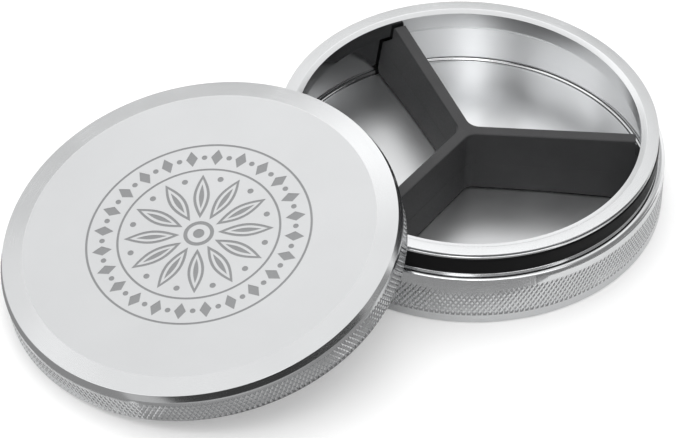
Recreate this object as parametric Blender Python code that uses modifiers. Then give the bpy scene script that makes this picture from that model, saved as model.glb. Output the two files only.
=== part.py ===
"""Round pocket tin: a knurled aluminium can with a sealed neck, a three-way
divider inside it, and its lid taken off and leaning on the rim.

The origin is the centre of the can's underside, on the surface it stands on.
+X runs along one arm of the divider and +Z is up.
"""

import math

import bmesh
import bpy
from mathutils import Matrix, Vector

# Can, in metres
CAN_RADIUS = 0.0350
CAN_WALL = 0.0014
CAN_FLOOR = 0.0011
SHOULDER_HEIGHT = 0.0100
SHOULDER_ROUND = 0.0010
FOOT_CHAMFER = 0.0003
FLOOR_COVE = 0.0008

# Thumb recess in the front of the can's wall, below the shoulder
RECESS_BEARING = math.radians(270.5)
RECESS_HALF_SPAN = math.radians(26.5)
RECESS_HEIGHT = 0.0039
RECESS_DEPTH = 0.00044

# Neck of the can, with the groove for the seal
SHOULDER_WIDTH = 0.0014
NECK_WALL = 0.0031
NECK_HEIGHT = 0.0049
NECK_LIP_DEPTH = 0.0034
NECK_OUTER_ROUND = 0.0002
RIM_BEVEL_WIDTH = 0.0011
RIM_BEVEL_DROP = 0.0003
GROOVE_ABOVE_SHOULDER = 0.0006
GROOVE_BELOW_RIM = 0.0011
GROOVE_DEPTH = 0.0010

# Seal band
SEAL_CLEARANCE = 0.0002
SEAL_PROUD = 0.00015
SEAL_ROUND = 0.0003

# Lid
LID_RUNNING_CLEARANCE = 0.0002
LID_WALL = 0.0014
LID_TOP = 0.0015
LID_HEADROOM = 0.0007
LID_RING_WIDTH = 0.0042
LID_RING_DROP = 0.00058
LID_BEVEL_WIDTH = 0.0005
LID_BEVEL_DROP = 0.00124
LID_FOOT_CHAMFER = 0.00025
LID_INNER_COVE = 0.0008

# Divider, with its arms numbered anticlockwise from +X
ARM_BEARINGS = (math.radians(0.8), math.radians(116.0), math.radians(237.6))
ARM_TOP_HALF_WIDTH = 0.0011
ARM_FOOT_HALF_WIDTH = 0.00115
ARM_FOOT_FLARE = 0.00165
ARM_BELOW_RIM = 0.0011
ARM_NECK_CLEARANCE = 0.0006
ARM_WALL_CLEARANCE = 0.0007
ARM_EDGE_ROUND = 0.00025
HUB_FILLET = 0.0026
DIVIDER_SHIFT = 0.00035

# Lid at rest, leaning on the rim with its low edge on the surface
LID_OVERLAP = 0.00667
LID_BEARING = math.radians(215.63)

# Gap between pieces that rest on each other
REST_GAP = 0.0003

# Heights and radii that follow from the sizes above
RIM_HEIGHT = SHOULDER_HEIGHT + NECK_HEIGHT
WALL_BORE = CAN_RADIUS - CAN_WALL
NECK_RADIUS = CAN_RADIUS - SHOULDER_WIDTH
NECK_BORE = NECK_RADIUS - NECK_WALL
NECK_LIP_HEIGHT = RIM_HEIGHT - NECK_LIP_DEPTH
UNDERCUT_HEIGHT = NECK_LIP_HEIGHT - (WALL_BORE - NECK_BORE)
GROOVE_RADIUS = NECK_RADIUS - GROOVE_DEPTH
GROOVE_BOTTOM = SHOULDER_HEIGHT + GROOVE_ABOVE_SHOULDER
GROOVE_TOP = RIM_HEIGHT - GROOVE_BELOW_RIM
SEAL_RADIUS = NECK_RADIUS + SEAL_PROUD
LID_BORE = SEAL_RADIUS + LID_RUNNING_CLEARANCE
LID_RADIUS = LID_BORE + LID_WALL
LID_DISC_RADIUS = LID_RADIUS - LID_RING_WIDTH
LID_DEPTH = NECK_HEIGHT + LID_HEADROOM
LID_HEIGHT = LID_DEPTH + LID_TOP
DIVIDER_FOOT = CAN_FLOOR + REST_GAP
DIVIDER_HEIGHT = RIM_HEIGHT - ARM_BELOW_RIM - DIVIDER_FOOT

# Smoothness
TURN_STEPS = 72
ROUND_STEPS = 3
HUB_FILLET_STEPS = 5
ARM_STATION_SHARES = (0.35, 0.6, 0.8, 1.0)
MERGE_DISTANCE = 0.00001
SMOOTH_ANGLE = math.radians(30.0)
CUTTER_OVERRUN = 0.002
RECESS_STEPS = 24
RECESS_OVERRUN_SHARE = 0.25


def clear_scene():
    """Remove what the scene holds."""
    for item in list(bpy.data.objects):
        bpy.data.objects.remove(item, do_unlink=True)


def make_collection(name):
    """Make a collection in the scene."""
    group = bpy.data.collections.new(name)
    bpy.context.scene.collection.children.link(group)
    return group


def make_material(name, colour, roughness, metallic):
    """Make a Principled material."""
    material = bpy.data.materials.new(name)
    material.use_nodes = True
    shader = material.node_tree.nodes["Principled BSDF"]
    shader.inputs["Base Color"].default_value = (*colour, 1.0)
    shader.inputs["Roughness"].default_value = roughness
    shader.inputs["Metallic"].default_value = metallic
    material.diffuse_color = (*colour, 1.0)
    return material


def satin_aluminium():
    """Anodised aluminium of the can and the lid."""
    return make_material("satin_aluminium", (0.78, 0.78, 0.79), 0.32, 1.0)


def black_rubber():
    """Rubber of the seal band."""
    return make_material("black_rubber", (0.012, 0.012, 0.013), 0.45, 0.0)


def charcoal_silicone():
    """Silicone of the divider."""
    return make_material("charcoal_silicone", (0.045, 0.045, 0.047), 0.55, 0.0)


def arc(centre_r, centre_z, radius, start, end):
    """Points of a round corner in the profile plane, ends included."""
    points = []
    for step in range(ROUND_STEPS + 1):
        angle = start + (end - start) * step / ROUND_STEPS
        points.append((centre_r + radius * math.cos(angle), centre_z + radius * math.sin(angle)))
    return points


def make_turned(name, profile, closed, collection):
    """Turn a profile of (radius, height) points about the Z axis."""
    shape = bmesh.new()
    verts = [shape.verts.new((radius, 0.0, height)) for radius, height in profile]
    for start, end in zip(verts, verts[1:]):
        shape.edges.new((start, end))
    if closed:
        shape.edges.new((verts[-1], verts[0]))
    mesh = bpy.data.meshes.new(name)
    shape.to_mesh(mesh)
    shape.free()
    item = bpy.data.objects.new(name, mesh)
    collection.objects.link(item)
    turn = item.modifiers.new("turn", "SCREW")
    turn.axis = "Z"
    turn.angle = math.tau
    turn.screw_offset = 0.0
    turn.steps = TURN_STEPS
    turn.render_steps = TURN_STEPS
    turn.use_merge_vertices = True
    turn.merge_threshold = MERGE_DISTANCE
    return item


def bake_modifiers(item):
    """Replace an object's mesh by what its modifiers make."""
    bpy.context.view_layer.update()
    graph = bpy.context.evaluated_depsgraph_get()
    plain = item.data
    item.data = bpy.data.meshes.new_from_object(item.evaluated_get(graph))
    item.data.name = plain.name
    item.modifiers.clear()
    bpy.data.meshes.remove(plain)


def finish(item, material):
    """Give a piece its material and shade its round faces smooth."""
    bake_modifiers(item)
    item.data.materials.clear()
    item.data.materials.append(material)
    item.data.shade_smooth()
    item.data.set_sharp_from_angle(angle=SMOOTH_ANGLE)


def can_profile():
    """Inside of the can from the floor up, over the rim and down its outer side."""
    floor_cove = arc(
        WALL_BORE - FLOOR_COVE, CAN_FLOOR + FLOOR_COVE, FLOOR_COVE, -math.pi / 2, 0.0
    )
    neck_inside = [
        (WALL_BORE, UNDERCUT_HEIGHT),
        (NECK_BORE, NECK_LIP_HEIGHT),
        (NECK_BORE, RIM_HEIGHT - RIM_BEVEL_DROP),
        (NECK_BORE + RIM_BEVEL_WIDTH, RIM_HEIGHT),
    ]
    neck_outside = [
        (NECK_RADIUS - NECK_OUTER_ROUND, RIM_HEIGHT),
        (NECK_RADIUS, RIM_HEIGHT - NECK_OUTER_ROUND),
        (NECK_RADIUS, GROOVE_TOP),
        (GROOVE_RADIUS, GROOVE_TOP),
        (GROOVE_RADIUS, GROOVE_BOTTOM),
        (NECK_RADIUS, GROOVE_BOTTOM),
        (NECK_RADIUS, SHOULDER_HEIGHT),
    ]
    round_centre = (CAN_RADIUS - SHOULDER_ROUND, SHOULDER_HEIGHT - SHOULDER_ROUND)
    shoulder_round = arc(*round_centre, SHOULDER_ROUND, math.pi / 2, 0.0)
    foot = [(CAN_RADIUS, FOOT_CHAMFER), (CAN_RADIUS - FOOT_CHAMFER, 0.0), (0.0, 0.0)]
    inside = [(0.0, CAN_FLOOR)] + floor_cove + neck_inside
    return inside + neck_outside + shoulder_round + foot


def recess_section(share):
    """Section of the recess cutter, at a share of the half span from its middle.

    Its inner side slopes in from the wall up to the shoulder. The line where
    that side meets the wall is half an ellipse that hangs from the shoulder.
    """
    foot = SHOULDER_HEIGHT - RECESS_HEIGHT * math.sqrt(1.0 - share ** 2)
    top = SHOULDER_HEIGHT + RECESS_HEIGHT * RECESS_OVERRUN_SHARE
    slope = RECESS_DEPTH / RECESS_HEIGHT
    outside = RECESS_DEPTH * RECESS_OVERRUN_SHARE
    return [
        (CAN_RADIUS + outside, foot - outside / slope),
        (CAN_RADIUS + outside, top),
        (CAN_RADIUS - (top - foot) * slope, top),
    ]


def make_recess_cutter(cutters):
    """Wedge that cuts the thumb recess, lofted round the can."""
    shape = bmesh.new()
    sections = []
    for step in range(RECESS_STEPS + 1):
        share = math.sin(math.pi * (step / RECESS_STEPS - 1 / 2))
        bearing = RECESS_BEARING + RECESS_HALF_SPAN * share
        along = unit(bearing)
        section = recess_section(share)
        sections.append([shape.verts.new((*(along * reach), height)) for reach, height in section])
    for before, after in zip(sections, sections[1:]):
        for index in range(len(before)):
            following = (index + 1) % len(before)
            shape.faces.new((before[index], before[following], after[following], after[index]))
    shape.faces.new(sections[0])
    shape.faces.new(sections[-1])
    bmesh.ops.recalc_face_normals(shape, faces=shape.faces)
    mesh = bpy.data.meshes.new("recess_cutter")
    shape.to_mesh(mesh)
    shape.free()
    cutter = bpy.data.objects.new("recess_cutter", mesh)
    cutter.hide_render = True
    cutter.display_type = "WIRE"
    cutters.objects.link(cutter)
    return cutter


def make_can(collection, cutters):
    """The can, turned in one piece with its neck, and its thumb recess."""
    can = make_turned("base_can", can_profile(), False, collection)
    recess = can.modifiers.new("recess", "BOOLEAN")
    recess.operation = "DIFFERENCE"
    recess.object = make_recess_cutter(cutters)
    finish(can, satin_aluminium())
    return can


def seal_profile():
    """Section of the seal band, clear of its groove."""
    inner = GROOVE_RADIUS + SEAL_CLEARANCE
    low = GROOVE_BOTTOM + SEAL_CLEARANCE
    high = GROOVE_TOP - SEAL_CLEARANCE
    return [
        (inner, high),
        (SEAL_RADIUS - SEAL_ROUND, high),
        (SEAL_RADIUS, high - SEAL_ROUND),
        (SEAL_RADIUS, low + SEAL_ROUND),
        (SEAL_RADIUS - SEAL_ROUND, low),
        (inner, low),
    ]


def make_seal(collection, can):
    """The rubber band in the neck's groove."""
    seal = make_turned("seal_band", seal_profile(), True, collection)
    finish(seal, black_rubber())
    seal.parent = can
    return seal


def lid_profile():
    """Top of the lid from its centre out, down its skirt and back up inside."""
    edge_height = LID_HEIGHT - LID_RING_DROP
    outer_edge = [
        (LID_RADIUS - LID_BEVEL_WIDTH, edge_height),
        (LID_RADIUS, edge_height - LID_BEVEL_DROP),
    ]
    foot = [
        (LID_RADIUS, LID_FOOT_CHAMFER),
        (LID_RADIUS - LID_FOOT_CHAMFER, 0.0),
        (LID_BORE + LID_FOOT_CHAMFER, 0.0),
        (LID_BORE, LID_FOOT_CHAMFER),
    ]
    inner_cove = arc(
        LID_BORE - LID_INNER_COVE, LID_DEPTH - LID_INNER_COVE, LID_INNER_COVE, 0.0, math.pi / 2
    )
    top = [(0.0, LID_HEIGHT), (LID_DISC_RADIUS, LID_HEIGHT)]
    return top + outer_edge + foot + inner_cove + [(0.0, LID_DEPTH)]


def lid_rest_matrix():
    """Pose of the lid, with its low edge on the surface and its skirt on the rim.

    The foot of the skirt is a circle that climbs towards the can. Its last
    LID_OVERLAP stands higher than the rim, and where that starts the foot
    passes over the rim's outer edge on both sides, REST_GAP above it.
    """
    foot_radius = LID_RADIUS - LID_FOOT_CHAMFER
    lean = math.asin((RIM_HEIGHT + REST_GAP) / (2.0 * foot_radius - LID_OVERLAP))
    beyond = foot_radius - LID_OVERLAP
    half_chord = math.sqrt(foot_radius ** 2 - beyond ** 2)
    standoff = math.sqrt(NECK_RADIUS ** 2 - half_chord ** 2) + beyond * math.cos(lean)
    height = foot_radius * math.sin(lean)
    place = Matrix.Translation((standoff, 0.0, height)) @ Matrix.Rotation(lean, 4, "Y")
    return Matrix.Rotation(LID_BEARING, 4, "Z") @ place


def make_lid(collection):
    """The lid, with its origin at the centre of its open side."""
    lid = make_turned("lid", lid_profile(), False, collection)
    finish(lid, satin_aluminium())
    lid.matrix_world = lid_rest_matrix()
    return lid


def unit(bearing):
    """Horizontal direction of a bearing."""
    return Vector((math.cos(bearing), math.sin(bearing)))


def arm_half_width(reach, height_share, inset):
    """Half of an arm's thickness at a distance from the hub and a height."""
    foot = ARM_FOOT_HALF_WIDTH + ARM_FOOT_FLARE * (reach / WALL_BORE) ** 2
    return foot + (ARM_TOP_HALF_WIDTH - foot) * height_share - inset


def hub_fillet(bearing, next_bearing, height_share, inset):
    """Rounded corner between one arm's left face and the next arm's right face."""
    left = unit(bearing + math.pi / 2)
    right = unit(next_bearing - math.pi / 2)
    radius = HUB_FILLET + inset
    offset = arm_half_width(0.0, height_share, inset) + radius
    middle = (left + right) / (1.0 + left.dot(right)) * offset
    start = math.atan2(-left.y, -left.x)
    sweep = (math.atan2(-right.y, -right.x) - start) % math.tau
    if sweep > math.pi:
        sweep -= math.tau
    points = []
    for step in range(HUB_FILLET_STEPS + 1):
        points.append(middle + radius * unit(start + sweep * step / HUB_FILLET_STEPS))
    return points


def divider_outline(height_share, inset):
    """Plan of the divider at one height, anticlockwise, with its arms overlong."""
    points = []
    reach = WALL_BORE + CUTTER_OVERRUN
    for index, bearing in enumerate(ARM_BEARINGS):
        along = unit(bearing)
        left = unit(bearing + math.pi / 2)
        for share in ARM_STATION_SHARES:
            half = arm_half_width(reach * share, height_share, inset)
            points.append(along * reach * share - left * half)
        for share in reversed(ARM_STATION_SHARES):
            half = arm_half_width(reach * share, height_share, inset)
            points.append(along * reach * share + left * half)
        next_bearing = ARM_BEARINGS[(index + 1) % len(ARM_BEARINGS)]
        points += hub_fillet(bearing, next_bearing, height_share, inset)
    return points


def make_divider_blank(collection):
    """Loft of the divider's plan from its foot to its top, with overlong arms."""
    round_share = 1.0 - ARM_EDGE_ROUND / DIVIDER_HEIGHT
    levels = ((0.0, 0.0), (round_share, 0.0), (1.0, ARM_EDGE_ROUND))
    shape = bmesh.new()
    rings = []
    for height_share, inset in levels:
        height = height_share * DIVIDER_HEIGHT
        outline = divider_outline(height_share, inset)
        rings.append([shape.verts.new((point.x, point.y, height)) for point in outline])
    for lower, upper in zip(rings, rings[1:]):
        for index in range(len(lower)):
            after = (index + 1) % len(lower)
            shape.faces.new((lower[index], lower[after], upper[after], upper[index]))
    shape.faces.new(list(reversed(rings[0])))
    shape.faces.new(rings[-1])
    mesh = bpy.data.meshes.new("divider_insert")
    shape.to_mesh(mesh)
    shape.free()
    blank = bpy.data.objects.new("divider_insert", mesh)
    collection.objects.link(blank)
    return blank


def divider_space_profile():
    """Space inside the can that the divider may fill, about its own centre."""
    low = WALL_BORE - ARM_WALL_CLEARANCE
    high = NECK_BORE - ARM_NECK_CLEARANCE
    lip = NECK_LIP_HEIGHT - DIVIDER_FOOT - REST_GAP
    top = DIVIDER_HEIGHT + CUTTER_OVERRUN
    return [
        (0.0, top),
        (high, top),
        (high, lip),
        (low, lip - (low - high)),
        (low, FLOOR_COVE),
        (low - FLOOR_COVE, 0.0),
        (low - FLOOR_COVE, -CUTTER_OVERRUN),
        (0.0, -CUTTER_OVERRUN),
    ]


def make_divider(collection, cutters, can):
    """The three-way divider, its arms trimmed to the can's inside."""
    divider = make_divider_blank(collection)
    space = make_turned("divider_space", divider_space_profile(), False, cutters)
    space.hide_render = True
    space.display_type = "WIRE"
    trim = divider.modifiers.new("trim", "BOOLEAN")
    trim.operation = "INTERSECT"
    trim.object = space
    finish(divider, charcoal_silicone())
    divider.parent = can
    divider.location = (-DIVIDER_SHIFT, 0.0, DIVIDER_FOOT)
    return divider


def build():
    """Make the whole tin."""
    clear_scene()
    tin = make_collection("pocket_tin")
    cutters = make_collection("pocket_tin_cutters")
    can = make_can(tin, cutters)
    make_seal(tin, can)
    make_divider(tin, cutters, can)
    make_lid(tin)


build()
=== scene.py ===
# %% [markdown]
# # A knurled pocket tin, dressed
#
# The solid model says where each piece of the tin is and how the lid moves.
# It is loaded here as a fixed frame, and every cell below makes one piece or
# one finish on it. All lengths are in metres, written through MM, one
# millimetre.

# %% Load the frame
import math

import bmesh
import bpy
from mathutils import Matrix, Vector
from mathutils.geometry import delaunay_2d_cdt


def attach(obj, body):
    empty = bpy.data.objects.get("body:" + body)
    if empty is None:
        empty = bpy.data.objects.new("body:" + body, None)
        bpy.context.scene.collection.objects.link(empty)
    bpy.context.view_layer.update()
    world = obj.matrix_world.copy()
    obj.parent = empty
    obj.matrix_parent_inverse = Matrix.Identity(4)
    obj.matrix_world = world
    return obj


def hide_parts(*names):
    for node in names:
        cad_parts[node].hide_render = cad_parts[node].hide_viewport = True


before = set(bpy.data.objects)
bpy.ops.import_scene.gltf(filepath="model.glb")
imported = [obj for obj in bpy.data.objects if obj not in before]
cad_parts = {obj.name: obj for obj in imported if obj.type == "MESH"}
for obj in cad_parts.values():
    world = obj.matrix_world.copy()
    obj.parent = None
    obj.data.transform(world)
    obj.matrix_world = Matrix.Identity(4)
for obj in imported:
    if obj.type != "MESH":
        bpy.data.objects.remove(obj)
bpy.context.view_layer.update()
MM = 0.001
print("nodes:", sorted(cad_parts))

# %% [markdown]
# ## Camera
#
# A long lens 0.7 m above the table looks down on the tin at 43 degrees. It
# could be aimed by hand until the picture fits, but its place was found by
# fitting the circles of the can and the lid, so it is written as a matrix.
# The small shift stands for a picture that was cropped a little off centre.

# %% Camera
CAMERA_RIGHT = Vector((0.99814791, 0.05338351, 0.02917118))
CAMERA_UP = Vector((-0.05759747, 0.67498485, 0.73558003))
CAMERA_FORWARD = Vector((-0.01957774, 0.73589785, -0.67680947))
CAMERA_PLACE = Vector((0.0, -757.929, 689.055)) * MM
SENSOR_WIDTH = 36.0
LENS_LENGTH = 304.787
CROP_RIGHT = -0.01693
CROP_UP = -0.00743
NEAREST = 10 * MM
FARTHEST = 10000 * MM


def make_camera():
    """The camera, with its axes as the columns of its matrix."""
    data = bpy.data.cameras.new("view")
    data.sensor_width = SENSOR_WIDTH
    data.lens = LENS_LENGTH
    data.shift_x = CROP_RIGHT
    data.shift_y = CROP_UP
    data.clip_start = NEAREST
    data.clip_end = FARTHEST
    camera = bpy.data.objects.new("view", data)
    bpy.context.scene.collection.objects.link(camera)
    axes = Matrix((CAMERA_RIGHT, CAMERA_UP, -CAMERA_FORWARD)).transposed()
    camera.matrix_world = Matrix.Translation(CAMERA_PLACE) @ axes.to_4x4()
    bpy.context.scene.camera = camera


make_camera()
print("camera looks down at", round(math.degrees(math.asin(-CAMERA_FORWARD.z)), 1), "degrees")

# %% [markdown]
# ## Helpers for finishes
#
# Colours are written as the hex values that a picture shows. Blender's
# sockets take linear light, so one function turns them. Another adds a node,
# with its settings and what its sockets are fed from. A third feeds the three
# things that every finish here has: a colour that drifts a little, a
# roughness that varies, and a fine relief. Each is read from a noise, since
# no real surface is quite even.

# %% Colour and node helpers
NOISE_SPAN = (0.3, 0.7)


def linear(code):
    """Linear colour of an sRGB hex value."""
    values = []
    for start in (1, 3, 5):
        share = int(code[start : start + 2], 16) / 255
        low = share <= 0.04045
        values.append(share / 12.92 if low else ((share + 0.055) / 1.055) ** 2.4)
    return (*values, 1.0)


def add(tree, kind, feeds=None, **settings):
    """Add a node with its settings. Each feed is a socket to link or a value."""
    node = tree.nodes.new(kind)
    for name, value in settings.items():
        setattr(node, name, value)
    for name, source in (feeds or {}).items():
        if isinstance(source, bpy.types.NodeSocket):
            tree.links.new(source, node.inputs[name])
        else:
            node.inputs[name].default_value = source
    return node


def new_material(name):
    """An empty material with a Principled shader in it."""
    material = bpy.data.materials.new(name)
    material.use_nodes = True
    shader = material.node_tree.nodes["Principled BSDF"]
    return material, material.node_tree, shader


def feed_surface(tree, shader, colour, tone, gloss, fine, depth):
    """Feed the colour, roughness and relief. Tone and gloss: noise, its span, the span wanted."""
    spans = []
    for source, (start, end), (low, high) in (tone, gloss):
        feeds = {"Value": source, "From Min": start, "From Max": end, "To Min": low, "To Max": high}
        spans.append(add(tree, "ShaderNodeMapRange", feeds).outputs[0])
    feeds = {0: linear(colour)[:3], "Scale": spans[0]}
    tinted = add(tree, "ShaderNodeVectorMath", feeds, operation="SCALE")
    relief = add(tree, "ShaderNodeBump", {"Height": fine, "Distance": depth, "Strength": 1.0})
    tree.links.new(tinted.outputs[0], shader.inputs["Base Color"])
    tree.links.new(spans[1], shader.inputs["Roughness"])
    tree.links.new(relief.outputs[0], shader.inputs["Normal"])


print("the hex grey #808080 is", round(linear("#808080")[0], 3), "in linear light")

# %% [markdown]
# ## Turned aluminium
#
# The can and the lid are cut from bar on a lathe and then anodised clear. The
# tool leaves fine rings round the axis, a tenth of a millimetre apart, which
# draw a reflection out across them, and the anodising takes the shine down to
# a satin. An anisotropic shader could stretch the reflections too, but it
# needs a direction on every face. A noise that reads only the distance from
# the axis and the height gives rings on flat and upright faces at once. A
# second, slow noise keeps them from looking ruled.
#
# The same metal has four finishes. Most of it is satin. The neck and the
# edges are cut with a last fine pass, so they are brighter. The knurl's
# facets are small and smooth. The can's inner floor is etched softer, so
# that reflections in it are blurred, and its paler colour is painted light
# for the light that fills the can.

# %% Turned aluminium
RING_SPACING = 0.09 * MM
RING_DRIFT = 9 * MM
RING_SPAN = (0.15, 0.40)
METAL_TONES = (0.97, 1.0)


def turned_aluminium(name, colour, roughness, spread, marks):
    """Aluminium with tool rings: spread varies its roughness, marks is their depth."""
    material, tree, shader = new_material(name)
    place = add(tree, "ShaderNodeTexCoord").outputs["Object"]
    flat = add(tree, "ShaderNodeVectorMath", {0: place, 1: (1.0, 1.0, 0.0)}, operation="MULTIPLY")
    reach = add(tree, "ShaderNodeVectorMath", {0: flat.outputs[0]}, operation="LENGTH")
    parts = add(tree, "ShaderNodeSeparateXYZ", {0: place})
    across = add(tree, "ShaderNodeCombineXYZ", {"X": reach.outputs["Value"], "Z": parts.outputs["Z"]})
    feeds = {"Vector": across.outputs[0], "Scale": 1 / RING_SPACING, "Detail": 2.0, "Roughness": 0.6}
    rings = add(tree, "ShaderNodeTexNoise", feeds).outputs["Fac"]
    feeds = {"Vector": place, "Scale": 1 / RING_DRIFT, "Detail": 3.0}
    slow = add(tree, "ShaderNodeTexNoise", feeds).outputs["Fac"]
    both = add(tree, "ShaderNodeMath", {0: rings, 1: slow}, operation="MULTIPLY").outputs[0]
    tone = (slow, NOISE_SPAN, METAL_TONES)
    gloss = (both, RING_SPAN, (roughness - spread, roughness + spread))
    feed_surface(tree, shader, colour, tone, gloss, rings, marks)
    shader.inputs["Metallic"].default_value = 1.0
    return material


satin_turned = turned_aluminium("satin_turned_aluminium", "#d6d7d8", 0.24, 0.04, 0.00012 * MM)
bright_turned = turned_aluminium("bright_turned_aluminium", "#d8d9da", 0.15, 0.02, 0.0)
knurled = turned_aluminium("knurled_aluminium", "#d6d7d8", 0.22, 0.04, 0.0)
# Inner floor: rougher from its etch, and paler as painted light for the light inside the can.
etched_paler_painted = turned_aluminium("etched_turned_aluminium_painted_paler", "#eaebec", 0.36, 0.03, 0.0)
print("finishes:", [item.name for item in (satin_turned, bright_turned, knurled, etched_paler_painted)])

# %% [markdown]
# ## Blasted aluminium and the laser mark
#
# The lid's disc is blasted with fine glass beads before it is anodised, so it
# has a very fine grain and no rings. A higher roughness alone would look like
# plastic film, so a grain is added. It is finer than a pixel, so it is drawn
# about four times as coarse as the real beads leave it. The mark is burned
# into the anodising by a laser, which leaves a rougher, greyer face a few
# hundredths of a millimetre deep.

# %% Blasted aluminium and the laser mark
BEAD_GRAIN = 0.25 * MM
BEAD_CLOUD = 12 * MM
BEAD_SPREAD = 0.04


def blasted_aluminium(name, colour, roughness, depth):
    """Aluminium with the even grain that glass beads leave."""
    material, tree, shader = new_material(name)
    place = add(tree, "ShaderNodeTexCoord").outputs["Object"]
    noises = []
    for size in (BEAD_GRAIN, BEAD_CLOUD):
        feeds = {"Vector": place, "Scale": 1 / size, "Detail": 2.0}
        noises.append(add(tree, "ShaderNodeTexNoise", feeds).outputs["Fac"])
    grain, cloud = noises
    tone = (cloud, NOISE_SPAN, METAL_TONES)
    gloss = (grain, NOISE_SPAN, (roughness - BEAD_SPREAD, roughness + BEAD_SPREAD))
    feed_surface(tree, shader, colour, tone, gloss, grain, depth)
    shader.inputs["Metallic"].default_value = 1.0
    return material


blasted = blasted_aluminium("bead_blasted_aluminium", "#d0d1d2", 0.32, 0.0006 * MM)
laser_mark = blasted_aluminium("laser_marked_aluminium", "#9c9d9e", 0.5, 0.003 * MM)
print("finishes:", [item.name for item in (blasted, laser_mark)])

# %% [markdown]
# ## Rubber and silicone
#
# The seal is a moulded nitrile ring, almost black, with a slight shine. The
# divider is moulded silicone: it takes no polish, so it is a soft charcoal
# whose top edges catch the light, and dust and the mould give it a faint
# mottle. A flat colour would read as a hole beside so much metal, so both get
# a mottle and a fine skin from the same function.

# %% Rubber and silicone
MOULD_CLOUD = 7 * MM
MOULD_TONES = (0.9, 1.1)
MOULD_SPREAD = 0.05


def moulded(name, colour, roughness, shine, grain, depth):
    """A moulded rubber with a fine mottle in its tone and a soft skin."""
    material, tree, shader = new_material(name)
    place = add(tree, "ShaderNodeTexCoord").outputs["Object"]
    noises = []
    for size in (grain, MOULD_CLOUD):
        feeds = {"Vector": place, "Scale": 1 / size, "Detail": 3.0}
        noises.append(add(tree, "ShaderNodeTexNoise", feeds).outputs["Fac"])
    fine, cloud = noises
    tone = (cloud, NOISE_SPAN, MOULD_TONES)
    gloss = (fine, NOISE_SPAN, (roughness - MOULD_SPREAD, roughness + MOULD_SPREAD))
    feed_surface(tree, shader, colour, tone, gloss, fine, depth)
    shader.inputs["Specular IOR Level"].default_value = shine
    return material


nitrile = moulded("moulded_nitrile_rubber", "#0d0d0e", 0.42, 0.12, 0.4 * MM, 0.002 * MM)
silicone = moulded("moulded_silicone", "#373738", 0.52, 0.28, 0.3 * MM, 0.003 * MM)
print("finishes:", [item.name for item in (nitrile, silicone)])

# %% [markdown]
# ## Rings and bands
#
# Everything on the lathe is a stack of rings round one axis, joined by bands
# of faces. Two vertices for each knurl diamond make 472 round, so a ring 35 mm
# in radius is smooth to a thousandth of a millimetre, and the knurl joins the
# plain wall without a seam. Building the rings by hand, and not with the Screw
# modifier, lets the knurl and the marked disc grow out of the same mesh.

# %% Rings and bands
KNURL_COUNT = 236
COLUMNS = 2 * KNURL_COUNT
DIRECTIONS = [
    Vector((math.cos(math.tau * step / COLUMNS), math.sin(math.tau * step / COLUMNS), 0.0))
    for step in range(COLUMNS)
]


def at(step, radius, height):
    """Point on a ring, at a step that may be a fraction."""
    angle = math.tau * step / COLUMNS
    return Vector((radius * math.cos(angle), radius * math.sin(angle), height))


def ring(shape, radius, height):
    """A ring of vertices."""
    return [shape.verts.new(direction * radius + Vector((0, 0, height))) for direction in DIRECTIONS]


def band(shape, first, second, slot):
    """Faces between two rings."""
    for step in range(COLUMNS):
        after = (step + 1) % COLUMNS
        face = shape.faces.new((first[step], first[after], second[after], second[step]))
        face.material_index = slot
        face.smooth = True


def stack(shape, points, slots):
    """Rings through points of (radius, height), with a finish for each band between them."""
    rings = [ring(shape, *points[0])]
    for (radius, height), slot in zip(points[1:], slots):
        rings.append(ring(shape, radius, height))
        band(shape, rings[-2], rings[-1], slot)
    return rings


def cap(shape, edge, height, slot):
    """Close a ring with triangles to a point on the axis."""
    middle = shape.verts.new((0.0, 0.0, height))
    for step in range(COLUMNS):
        face = shape.faces.new((edge[step], edge[(step + 1) % COLUMNS], middle))
        face.material_index = slot
        face.smooth = False


def corner(centre_r, centre_z, radius, start, end, steps=6):
    """Points of a rounded corner between two angles in degrees."""
    points = []
    for step in range(steps + 1):
        angle = math.radians(start + (end - start) * step / steps)
        points.append((centre_r + radius * math.cos(angle), centre_z + radius * math.sin(angle)))
    return points


print("rings of", COLUMNS, "points,", KNURL_COUNT, "diamonds round")

# %% [markdown]
# ## From a mesh to a piece
#
# The meshes are built with bmesh, which adds one vertex and one face at a
# time. Two functions turn such a mesh into an object: a plain one, and one for
# a closed piece. That one marks its sharp edges by angle and weights its
# normals by area, so that a narrow break shades as a break while a wide band
# beside it stays flat. The edge loops that a subdivided model needs for that
# would be many more faces.

# %% From a mesh to a piece


def to_object(shape, name, materials):
    """Turn a bmesh into an object with its materials."""
    mesh = bpy.data.meshes.new(name)
    shape.to_mesh(mesh)
    shape.free()
    for material in materials:
        mesh.materials.append(material)
    item = bpy.data.objects.new(name, mesh)
    bpy.context.scene.collection.objects.link(item)
    return item


def to_piece(shape, name, materials, crease=30.0, cutter=None):
    """Turn a closed bmesh into a piece, with a cutter taken from it if there is one."""
    bmesh.ops.recalc_face_normals(shape, faces=shape.faces)
    open_edges = sum(1 for edge in shape.edges if len(edge.link_faces) != 2)
    item = to_object(shape, name, materials)
    if cutter:
        cut = item.modifiers.new("cut", "BOOLEAN")
        cut.operation = "DIFFERENCE"
        cut.object = cutter
        bpy.context.view_layer.update()
        graph = bpy.context.evaluated_depsgraph_get()
        item.data = bpy.data.meshes.new_from_object(item.evaluated_get(graph))
        item.modifiers.clear()
        bpy.data.objects.remove(cutter)
    item.data.set_sharp_from_angle(angle=math.radians(crease))
    flow = item.modifiers.new("flow", "WEIGHTED_NORMAL")
    flow.keep_sharp = True
    print(name, len(item.data.polygons), "faces,", open_edges, "open edges")
    return item


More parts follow.
